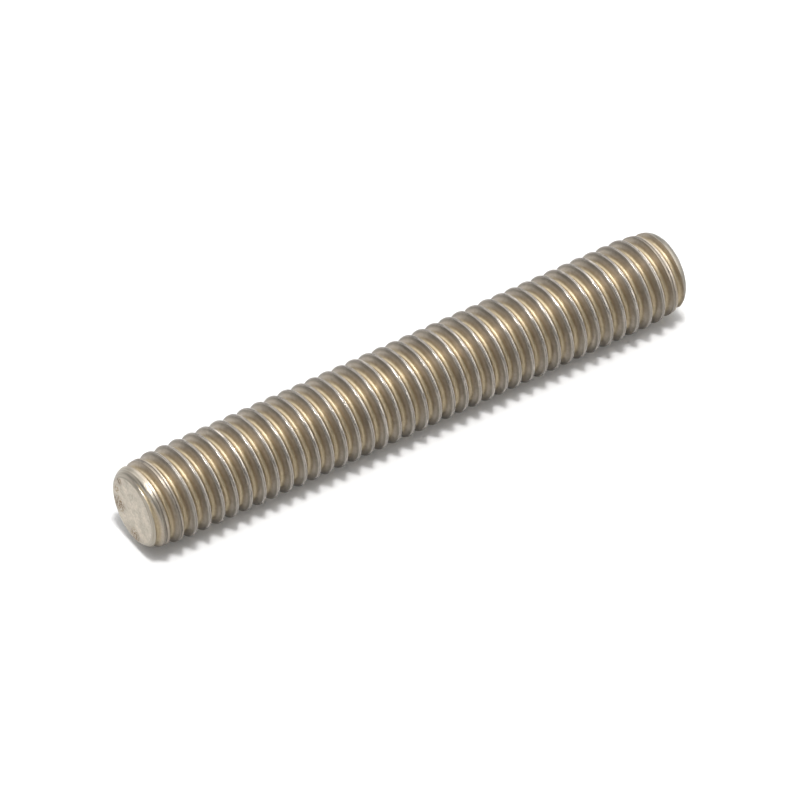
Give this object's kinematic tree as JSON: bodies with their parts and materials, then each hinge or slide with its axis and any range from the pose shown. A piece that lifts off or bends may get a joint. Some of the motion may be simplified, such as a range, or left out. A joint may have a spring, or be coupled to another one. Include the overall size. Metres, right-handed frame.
{
  "type": "threaded stud",
  "caption": "Fully threaded stainless steel stud: a straight rod with a right-hand metric thread from end to end and a chamfer on each flat end.",
  "frame": {"origin": "centre of the lower end face, on the thread's axis", "axes": "+Z along the axis from the lower end to the upper end; X and Y across it"},
  "size_m": [0.0058, 0.0058, 0.04],
  "materials": {
    "stainless": "rolled thread, bright and slightly warm, with sawn and chamfered ends"
  },
  "bodies": {
    "root": {"stud": "stainless"}
  },
  "joints": []
}
